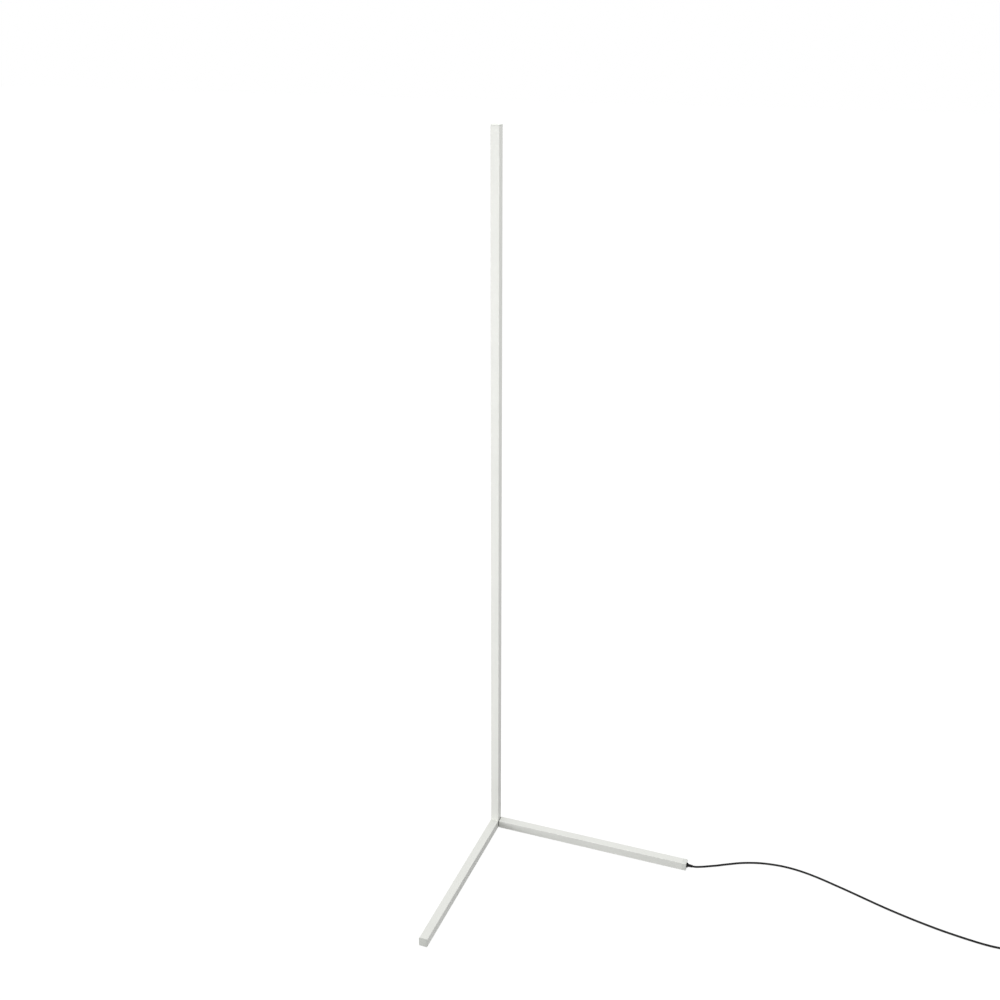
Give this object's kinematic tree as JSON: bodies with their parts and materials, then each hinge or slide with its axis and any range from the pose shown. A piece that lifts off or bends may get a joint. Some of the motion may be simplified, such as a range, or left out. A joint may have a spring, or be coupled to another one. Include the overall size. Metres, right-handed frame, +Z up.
{
  "type": "corner floor lamp",
  "caption": "Slender corner floor lamp: a square upright stands where two floor legs meet at a right angle, with a slanted light strip behind an opal cover on its wall sides.",
  "frame": {"origin": "on the floor, under the middle of the upright's square section, on the underside of the corner pad", "axes": "+Z up along the upright; +X along the right leg, which the lead leaves; -Y along the left leg. A room's walls come behind the faces at -X and +Y."},
  "size_m": [1.156, 0.452, 1.4],
  "materials": {
    "leg_paint": "matt off-white powder coat on steel",
    "profile_paint": "matt off-white powder coat on aluminium",
    "cap_plastic": "matt off-white plastic, the colour of the bars",
    "opal": "opal diffuser",
    "circuit_board": "white solder mask",
    "light_chip": "yellow phosphor",
    "wire": "wire insulation",
    "block_metal": "bare, as cut",
    "spacer_rubber": "black",
    "screw_steel": "zinc plated",
    "rivet_metal": "bare",
    "pad_rubber": "pale grey",
    "relief_plastic": "black, matt",
    "lead_jacket": "black, flexible",
    "crimp_metal": "plated",
    "tie_plastic": "black",
    "case_plastic": "black, fine texture",
    "button_plastic": "dark grey",
    "pin_metal": "nickel plated",
    "electronics": "circuit board with its parts"
  },
  "bodies": {
    "stand": {"left_leg_tube": "leg_paint", "right_leg_tube": "leg_paint", "upright_profile": "profile_paint", "light_cover": "opal", "light_board": "circuit_board", "light_chips": "light_chip", "board_wires": "wire", "top_cap": "cap_plastic", "left_end_cap": "cap_plastic", "outlet_cap": "cap_plastic", "corner_block": "block_metal", "leg_insert": "block_metal", "joint_spacer": "spacer_rubber", "joint_screws": "screw_steel", "block_rivets": "rivet_metal", "floor_pads": "pad_rubber", "strain_relief": "relief_plastic", "inner_lead": "lead_jacket", "crimp_ring": "crimp_metal", "lead_run": "lead_jacket", "lead_link": "lead_jacket", "lead_coil": "lead_jacket", "lead_tail": "lead_jacket", "coil_tie": "tie_plastic", "switch_base": "case_plastic", "switch_cover": "case_plastic", "switch_board": "electronics", "switch_screws": "screw_steel", "adapter_back": "case_plastic", "adapter_front": "case_plastic", "adapter_pins": "pin_metal", "adapter_board": "electronics", "adapter_relief": "relief_plastic"},
    "button": {"switch_button": "button_plastic"}
  },
  "joints": [
    {"name": "button_press", "type": "slide", "parent": "stand", "child": "button", "axis": [0, 0, -1], "range_m": [0, 0.001], "stiffness_N_per_m": 300, "springref_m": -0.002}
  ]
}
